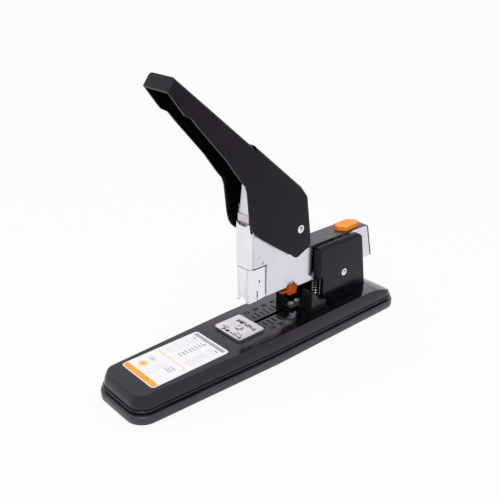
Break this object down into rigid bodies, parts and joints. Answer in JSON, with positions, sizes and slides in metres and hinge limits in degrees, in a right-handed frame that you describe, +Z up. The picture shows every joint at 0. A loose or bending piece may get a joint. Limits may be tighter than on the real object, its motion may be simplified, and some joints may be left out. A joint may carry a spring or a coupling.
{
  "type": "heavy-duty desk stapler",
  "caption": "Heavy-duty desk stapler: black base with label, chrome head raised, long black press handle, orange release button.",
  "frame": {"origin": "centre of the base's footprint, on the surface it stands on", "axes": "+Y from the nose and paper end towards the rear hinge, +X to the side seen in the picture, +Z up"},
  "size_m": [0.071, 0.286, 0.2366],
  "materials": {
    "base_black": "gloss",
    "tray_plastic": "satin",
    "pad_rubber": "matt",
    "label": "gloss",
    "chrome": "polished",
    "steel": "satin",
    "guide_plastic": "satin",
    "cover_black": "gloss",
    "handle_black": "satin",
    "orange": "gloss"
  },
  "bodies": {
    "base": {"base_shell": "base_black", "base_tray": "tray_plastic", "base_pads": "pad_rubber", "base_screws": "steel", "size_label": "label", "bracket": "base_black", "bracket_rivets": "base_black", "pivot_pin": "chrome", "pivot_spacers": "steel", "return_spring": "steel", "anvil_stud": "chrome"},
    "anvil": {"anvil_plate": "steel"},
    "guide": {"paper_guide": "guide_plastic", "guide_screws": "chrome", "guide_foot": "steel"},
    "head": {"head_frame": "chrome", "nose_cover": "chrome", "top_cover": "cover_black", "nose_rivets": "chrome", "catch_tab": "orange", "catch_clip": "steel", "driver_spring": "steel", "button_spring": "steel"},
    "magazine": {"nose_plate": "chrome", "magazine_channel": "steel", "magazine_core": "steel", "magazine_tail": "guide_plastic", "pusher_rod": "steel", "pusher_spring": "steel"},
    "pusher": {"staple_pusher": "orange"},
    "button": {"release_button": "orange"},
    "handle": {"handle": "handle_black", "handle_pin": "chrome", "handle_washers": "steel", "drive_lever": "handle_black", "lever_pin": "steel"},
    "ram": {"ram": "chrome", "driver_blade": "steel", "ram_rivets": "steel"}
  },
  "joints": [
    {"name": "head_pivot", "type": "hinge", "parent": "base", "child": "head", "pos_m": [0, 0.085, 0.046], "axis": [1, 0, 0], "range_deg": [0, 12.3], "stiffness_Nm_per_rad": 1.6, "springref_deg": -28.65, "deforming": ["return_spring"]},
    {"name": "handle_pivot", "type": "hinge", "parent": "head", "child": "handle", "pos_m": [0, 0.0305, 0.1015], "axis": [1, 0, 0], "range_deg": [0, 40], "stiffness_Nm_per_rad": 0.5, "springref_deg": -45.84},
    {"name": "ram_slide", "type": "slide", "parent": "head", "child": "ram", "axis": [0, 0, -1], "range_m": [0, 0.02677], "deforming": ["driver_spring"]},
    {"name": "magazine_slide", "type": "slide", "parent": "head", "child": "magazine", "axis": [0, 1, 0], "range_m": [-0.09, 0]},
    {"name": "pusher_slide", "type": "slide", "parent": "magazine", "child": "pusher", "axis": [0, 1, 0], "range_m": [0, 0.068], "stiffness_N_per_m": 20, "springref_m": -0.1, "deforming": ["pusher_spring"]},
    {"name": "button_press", "type": "slide", "parent": "head", "child": "button", "axis": [0, 0, -1], "range_m": [0, 0.0022], "stiffness_N_per_m": 400, "springref_m": -0.0015, "deforming": ["button_spring"]},
    {"name": "anvil_turn", "type": "hinge", "parent": "base", "child": "anvil", "pos_m": [0, -0.023, 0.0225], "axis": [0, 0, 1], "range_deg": [0, 180]},
    {"name": "guide_slide", "type": "slide", "parent": "base", "child": "guide", "axis": [0, 1, 0], "range_m": [-0.034, 0]}
  ],
  "couplings": [
    {"joint": "ram_slide", "follows": "handle_pivot", "m_per_rad": 0.038336}
  ]
}
